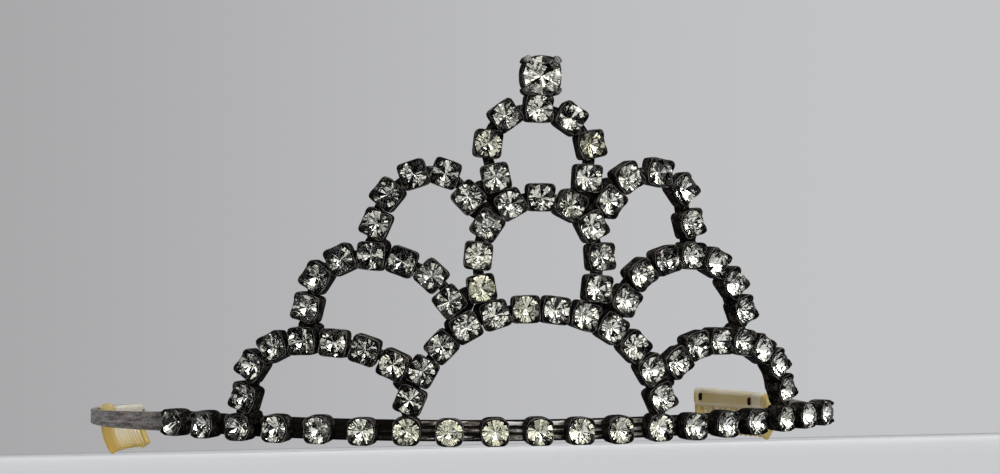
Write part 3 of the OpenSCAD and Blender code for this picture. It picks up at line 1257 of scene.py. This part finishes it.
@dataclass
class Headband:
    """The reeded band, its cups and the straps that hold the combs, in millimetres."""

    seats: list[Seat]
    metal: bpy.types.Material
    cup_metal: bpy.types.Material
    cup: Cup = field(default_factory=lambda: Cup(reach=2.68))
    face: float = -2.9
    back: float = -3.9
    height: float = 3.5
    edge: float = 0.15
    reeds: int = 3
    reed_steps: int = 6
    groove: float = 0.14
    plain_s: float = 60
    taper: float = 0.9
    rubbed_s: float = 32
    # The reach of the polished streak on the top reed, which is partly painted highlight
    polish_and_highlight_s: float = 13
    sag: float = 1.3
    sag_s: float = 66
    silver_y_left: float = 24
    silver_y_right: float = 36
    step: float = 1.1
    strap_s: tuple[float, float] = (140.5, 162)
    strap_w: float = 1.1
    strap_t: float = 0.3
    strap_round: float = 0.12

    def outline(self, s: float) -> list[tuple[float, float, float]]:
        """Gives the band's outline at a place.

        Args:
            s: The length along the band.

        Returns:
            (out, h, wear) of each point, up the reeded face and down the back.
        """
        slim = clamp((abs(s) - self.plain_s) / self.plain_s)
        height, groove = self.height - self.taper * slim, self.groove * (1 - 0.8 * slim)
        middle = -self.sag * math.sin(math.pi * clamp((s - self.sag_s) / self.sag_s)) ** 0.7
        rubbed = 0.7 + 0.42 * clamp((self.rubbed_s - abs(s - 2)) / 14)
        # A polished streak along the top reed's crest at the middle front: partly rubbed metal, partly
        # painted highlight
        polish_and_highlight = 1.3 * clamp((self.polish_and_highlight_s - abs(s - 3)) / 3)
        points = []
        for i in range(self.reeds):
            for k in range(self.reed_steps + 1):
                part = k / self.reed_steps
                swell = math.sin(math.pi * part)
                crest = swell**0.55
                h = (i + 0.02 + 0.96 * part) * height / self.reeds - height / 2 + middle
                wear = rubbed * (0.5 + 0.5 * crest)
                if i == self.reeds - 1:
                    wear += polish_and_highlight * swell**6
                points.append((self.face - groove * (1 - crest), h, wear))
        points.append((self.back + self.edge, height / 2 + middle, 0.8))
        flat = height - 2 * self.edge
        points += [(self.back, flat * (0.5 - k / 4) + middle, 0.6) for k in range(5)]
        points.append((self.back + self.edge, -height / 2 + middle, 0.8))
        return points

    def strap(self, form: Form, s: float) -> None:
        """Adds a strap from the band over the comb's spine.

        Args:
            form: The mesh to add it to.
            s: Its place along the band.
        """
        path = [(out, h - spine_fall(s), size) for out, h, size in STRAP_PATH]
        outline = rounded_bar(self.strap_w, self.strap_t, self.strap_round)
        rings = []
        for (out, h, size), way in zip(path, headings([Vector(p[:2]) for p in path])):
            rings.append([LAYOUT.spot(s + size * a, h + way.x * o, out - way.y * o) for a, o in outline])
        form.loft(rings, [EDGE_WEAR] * len(rings))

    def build(self) -> bpy.types.Object:
        """Builds the band's piece.

        Returns:
            The piece.
        """
        form = Form()
        count = round(2 * LAYOUT.band_reach / self.step)
        rings, worn = [], []
        for i in range(count + 1):
            s = LAYOUT.band_reach * (2 * i / count - 1)
            outline = self.outline(s)
            rings.append([LAYOUT.spot(s, h, out) for out, h, _ in outline])
            worn.append([w for _, _, w in outline])
        form.loft(rings, worn)
        silvered = [self.silvered(p) for p in form.points]
        for s in self.strap_s:
            self.strap(form, s)
            self.strap(form, -s)
        silvered += [1.0 if p.x < 0 else 0.0 for p in form.points[len(silvered) :]]
        banded = len(form.faces)
        for seat in self.seats:
            self.cup.add_to(form, seat.frame, random.Random(seat.number).random())
        form.finish_numbers[banded:] = [1] * (len(form.faces) - banded)
        piece = form.build("headband_metal", (self.metal, self.cup_metal))
        silvered += [0.0] * (len(form.points) - len(silvered))
        write_mark(piece.data, "silvered", "POINT", silvered)
        return place_piece(piece, Slot.BAND, "headband")

    def silvered(self, point: Vector) -> float:
        """Gives how far the blackening has gone from a point of the band, from 0 to 1."""
        past = max(0, point.y - (self.silver_y_left if point.x < 0 else self.silver_y_right))
        return 0.7 * min(1, past / 16) + 0.3 * min(1, past / 60)


@dataclass
class Comb:
    """A side comb: a spine and a row of teeth, in millimetres."""

    side: Side
    plastic: bpy.types.Material
    age: float = 0.85
    knob: float = 3
    bare: float = 7
    start: float = COMB_REACH[0]
    end: float = COMB_REACH[1]
    face: float = -4.05
    thick: float = 2.8
    top: float = 2.8
    height: float = 4.7
    spine_round: float = 1.2
    spine_steps: int = 30
    end_round: float = 0.3
    teeth: int = 14
    tooth_w: float = 1.1
    guard_w: float = 2.2
    tooth_t: float = 1.6
    guard_t: float = 2.6
    straight: float = 0.1
    bend_r: float = 9.2
    bend: float = 37.3

    def spine(self, form: Form) -> None:
        """Adds the spine.

        Args:
            form: The mesh.
        """
        outline = rounded_bar(self.thick, self.height, self.spine_round, 5)
        middle_out, middle_h = self.face - self.thick / 2, self.top - self.height / 2
        first, last = self.start + self.end_round, self.end - self.end_round
        # How far each ring of a rounded end is past its straight stretch, and how far it is drawn in
        rounding = ((0.3, 0.5), (0.2, 0.18), (0.08, 0.04))
        stations = [(first - past, inset) for past, inset in rounding]
        stations += [(first + (last - first) * i / self.spine_steps, 0) for i in range(self.spine_steps + 1)]
        stations += [(last + past, inset) for past, inset in reversed(rounding)]
        rings, worn, tones = [], [], []
        for along, inset in stations:
            s = self.side.value * along
            ring = []
            for o, h in outline:
                o -= math.copysign(min(inset, abs(o)), o)
                h -= math.copysign(min(inset, abs(h)), h)
                fall = spine_fall(s) * max(0, 0.5 + h / self.height)
                ring.append(LAYOUT.spot(s, middle_h + h - fall, middle_out + o))
            rings.append(ring)
            age = self.age * (0.55 if along < self.start + self.bare else 1)
            if along < self.start + self.knob:
                age = max(self.age, 0.55)
            worn.append(0.95 if along < self.start + self.knob else 0.2)
            # A face's tone is the comb's age times the painted shade at its height
            tones += [age * self.shade(h) for _, h in outline]
        form.loft(rings, worn, tones[: -len(outline)])

    def shade(self, h: float) -> float:
        """Gives the painted shade on the spine at a height over its middle, as a part of its age: the top
        lighter, the middle face darkest, the foot between.
        """
        return 0.45 if h > self.height / 2 - 0.9 else 0.6 if h < -1 else 1

    def tooth(self, form: Form, at: float, guard: bool) -> None:
        """Adds a tooth.

        Args:
            form: The mesh.
            at: The length along the band of its middle.
            guard: Whether it is one of the two outermost teeth, which are stout and deep yellow.
        """
        width, full = (self.guard_w, self.guard_t) if guard else (self.tooth_w, self.tooth_t)
        tint, fineness = (0.95, 0.35) if guard else (0.15, 1)
        middle = self.face - self.thick / 2
        root = self.top - self.height
        outline = rounded_bar(1, 1, 0.3)
        # Each ring's height over the spine's foot, part of the bend, and taper
        stations = [(0.5, 0, 0), (-0.6, 0, 0), (-self.straight, 0, 0.1)]
        stations += [(-self.straight, k / 5, 0.1 + 0.22 * k / 5) for k in range(1, 5)]
        stations += [(-self.straight, *end) for end in ((0.94, 0.34), (0.98, 0.5), (1, 0.8))]
        rings, worn = [], []
        for down, part, taper in stations:
            taper *= fineness
            turn = math.radians(self.bend * part)
            out = middle - self.bend_r * (1 - math.cos(turn))
            h = root + down - self.bend_r * math.sin(turn)
            across, thick = width * (1 - taper), full * (1 - 0.8 * taper)
            ring = []
            for a, o in outline:
                o *= thick
                s = self.side.value * (at + a * across)
                ring.append(LAYOUT.spot(s, h - o * math.sin(turn), out + o * math.cos(turn)))
            rings.append(ring)
            worn.append(max(tint, 2.2 * taper))
        form.loft(rings, worn, 0.7 * self.age)

    def build(self) -> bpy.types.Object:
        """Builds the comb's piece.

        Returns:
            The piece.
        """
        form = Form()
        self.spine(form)
        pitch = (self.end - self.start - self.guard_w) / (self.teeth - 1)
        for i in range(self.teeth):
            self.tooth(form, self.start + self.guard_w / 2 + i * pitch, i in (0, self.teeth - 1))
        node = "comb_" + self.side.name.lower()
        return place_piece(form.build(node + "_plastic", (self.plastic,)), Slot.COMB, node)


@dataclass
class SolderJoints:
    """The solder between neighbouring rows of cups, in millimetres."""

    rows: list[list[Seat]]
    metal: bpy.types.Material
    near: float = 6.6
    near_three: float = 7.6
    size: float = 1.35
    out: float = -1.9
    wobble: float = 0.28
    stretch: float = 0.25
    wear: float = 0.25

    def places(self) -> list[list[Vector]]:
        """Finds the groups of neighbouring cups that are not all of one row.

        Returns:
            The places of the cups' backs, in pairs and triples.
        """
        behind = Vector((0, 0, self.out))
        backs = [(i, seat.frame @ behind) for i, row in enumerate(self.rows) for seat in row]
        groups = []
        for count, reach in ((2, self.near), (3, self.near_three)):
            for group in combinations(backs, count):
                near = all((a[1] - b[1]).length < reach for a, b in combinations(group, 2))
                if near and len({row for row, _ in group}) > 1:
                    groups.append([place for _, place in group])
        return groups

    def lump(self, form: Form, group: Sequence[Vector], number: int) -> None:
        """Adds one lump of solder.

        Args:
            form: The mesh.
            group: The places of the cups that it joins.
            number: The lump's number, which shifts its unevenness.
        """
        middle = sum(group, Vector()) / len(group)
        along = (group[1] - group[0]).normalized() * (len(group) == 2)
        ball = bmesh.new()
        bmesh.ops.create_icosphere(ball, subdivisions=3, radius=1)
        points = []
        for vertex in ball.verts:
            bump = 1 + self.wobble * noise.noise(vertex.co * 1.7 + Vector((number * 3.1, 0, 0)))
            away = self.stretch * vertex.co.dot(along) * along
            points.append(middle + self.size * bump * (vertex.co + away))
        faces = [[v.index for v in face.verts] for face in ball.faces]
        ball.free()
        form.add(points, faces, self.wear)

    def build(self) -> bpy.types.Object:
        """Builds the piece of all the solder.

        Returns:
            The piece.
        """
        form = Form()
        for number, group in enumerate(self.places()):
            self.lump(form, group, number)
        return place_piece(form.build("solder_joints", (self.metal,)), Slot.ARCH)


# The studio


@dataclass(frozen=True)
class Lamp:
    """A soft square lamp, with its place and side in metres and its power in watts."""

    name: str
    place: tuple[float, float, float]
    side: float
    watts: float

    def hang(self, target: Vector) -> None:
        """Hangs the lamp.

        Args:
            target: The point that it looks at.
        """
        light = bpy.data.lights.new(self.name, "AREA")
        light.shape, light.size, light.energy = "SQUARE", self.side, self.watts
        lamp = add_object(self.name, light)
        lamp.location = self.place
        lamp.rotation_euler = (target - lamp.location).to_track_quat("-Z", "Y").to_euler()
        lamp.visible_glossy = False


@dataclass
class Studio:
    """The pale floor, the soft lights and the camera at the photograph's viewing angle."""

    floor_half: float = 4.0
    lamps: tuple[Lamp, ...] = (
        Lamp("key lamp", (0.5, -0.7, 0.75), 0.5, 9),
        Lamp("fill lamp", (-0.75, -0.6, 0.4), 0.4, 2),
        Lamp("back lamp", (0.1, 0.7, 0.7), 0.6, 2),
        Lamp("near lamp", (0, -0.15, 0.17), 0.1, 0.2),
    )
    lamp_target: tuple[float, float, float] = (0, -0.03, 0.03)
    lens: float = 66.42
    sensor: float = 36
    clip: tuple[float, float] = (0.01, 50)
    camera_place: tuple[float, float, float] = (-65.101, -349.691, 0.53)
    camera_turn: float = -11.329
    camera_rise: float = 6.389
    camera_roll: float = -1.275
    viewer: tuple[float, float, float] = (-0.195, -0.975, -0.11)
    wave_scale: float = 4.5
    side_walls: tuple[Colour, Colour] = ((0.08, 0.08, 0.08), (1.42, 1.42, 1.42))
    front_walls: tuple[Colour, Colour] = ((0.15, 0.15, 0.15), (1.75, 1.75, 1.75))
    viewer_dark: Colour = (0.03, 0.03, 0.032)
    rear_wall: Colour = (0.3, 0.3, 0.31)
    backdrop: tuple[Colour, Colour] = ((0.36, 0.358, 0.366), (0.545, 0.55, 0.562))

    def floor(self) -> None:
        """Lays the floor."""
        half = self.floor_half
        corners = [(-half, -half, 0), (half, -half, 0), (half, half, 0), (-half, half, 0)]
        mesh = bpy.data.meshes.new("floor")
        mesh.from_pydata(corners, [], [(0, 1, 2, 3)])
        mesh.materials.append(FloorFinish("pale floor").make())
        add_object("floor", mesh)

    def world(self) -> None:
        """Lights the room: plain grey for the camera, and bright and dark walls for the reflections."""
        world = bpy.data.worlds.new("studio")
        bpy.context.scene.world = world
        tree = ShaderTree(world)
        way = tree.node("ShaderNodeTexCoord", output="Generated")
        inputs = {"Vector": way, "Scale": self.wave_scale, "Detail": 1.0, "Roughness": 0.4}
        wave = tree.node("ShaderNodeTexNoise", None, inputs)
        settings = {"operation": "DOT_PRODUCT"}
        ahead = tree.node("ShaderNodeVectorMath", settings, {0: way, 1: self.viewer}, "Value")
        across = tree.node("ShaderNodeSeparateXYZ", None, {"Vector": way})
        walls = tree.blend(wave.band(0.30, 0.50), *self.side_walls)
        front = tree.blend(wave.band(0.27, 0.44), *self.front_walls)
        walls = tree.blend(ahead.band(0.45, 0.6), walls, front)
        walls = tree.blend(ahead.band(0.955, 0.985), walls, self.viewer_dark)
        walls = tree.blend((0 - ahead).band(0.1, 0.5), walls, self.rear_wall)
        walls = tree.blend(across.band(-0.85, -0.25), tree.blend(0.7, walls, (0, 0, 0)), walls)
        backdrop = tree.blend(across.band(-0.25, 0.42), *self.backdrop)
        seen = tree.node("ShaderNodeLightPath", output="Is Camera Ray")
        colour = tree.blend(seen, walls, backdrop)
        tree.end("ShaderNodeOutputWorld", tree.node("ShaderNodeBackground", None, {"Color": colour}))

    def camera(self) -> None:
        """Sets the camera up."""
        data = bpy.data.cameras.new("camera")
        data.lens, data.sensor_width = self.lens, self.sensor
        data.clip_start, data.clip_end = self.clip
        turn = Matrix.Rotation(math.radians(self.camera_turn), 4, "Z")
        rise = Matrix.Rotation(math.radians(90 + self.camera_rise), 4, "X")
        roll = Matrix.Rotation(math.radians(self.camera_roll), 4, "Z")
        camera = add_object("camera", data)
        camera.matrix_world = Matrix.Translation(Vector(self.camera_place) * MM) @ turn @ rise @ roll
        bpy.context.scene.camera = camera

    def build(self) -> None:
        """Builds the studio."""
        bpy.context.scene.view_settings.view_transform = "Standard"
        self.floor()
        self.world()
        for lamp in self.lamps:
            lamp.hang(Vector(self.lamp_target))
        self.camera()


def main() -> None:
    """Builds the tiara and its studio."""
    logging.basicConfig(level=logging.INFO, format="%(name)s %(message)s")
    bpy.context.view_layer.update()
    metal = BlackenedMetal("blackened metal").make()
    solder_brown = (0.030, 0.021, 0.017)
    solder = BlackenedMetal("solder", brown=solder_brown, wear_gain=0.3, roughness=0.4, grain_mm=1.0).make()
    band_metal = BandMetal("band metal").make()
    glass = CutGlass("cut glass").make()
    foil = StoneFoil("stone foil").make()
    plastic = CombPlastic("comb plastic").make()

    base = [Seat(HAND.settle(LAYOUT.seat(s, 0), i), i) for i, s in enumerate(BASE_S)]
    Headband(base, band_metal, metal).build()
    StoneRow("base_stones_left", base[:BASE_LEFT_COUNT], glass, foil).build()
    StoneRow("base_stones_right", base[BASE_LEFT_COUNT:], glass, foil).build()

    rows = [base]
    first = len(base)
    for row in ROWS:
        seats = row_seats(row, first)
        first += len(seats)
        rows.append(seats)
        arch: type[Arch] = TopArch if row.name == "upper_centre" else Arch
        arch(row, seats, metal).build()
        StoneRow(row.name + "_stones", seats, glass, foil).build()
    SolderJoints(rows, solder).build()

    top = Seat(LAYOUT.seat(0, TOP_STONE_H), first)
    top_shape = CutStone(TOP_SETTING.stone, table=0.32, sliver=7)
    StoneRow("finial_stone", [top], glass, foil, top_shape).build()
    Comb(Side.LEFT, plastic, age=0.3, start=133).build()
    Comb(Side.RIGHT, plastic, end=165).build()
    Studio().build()


if __name__ == "__main__":
    main()
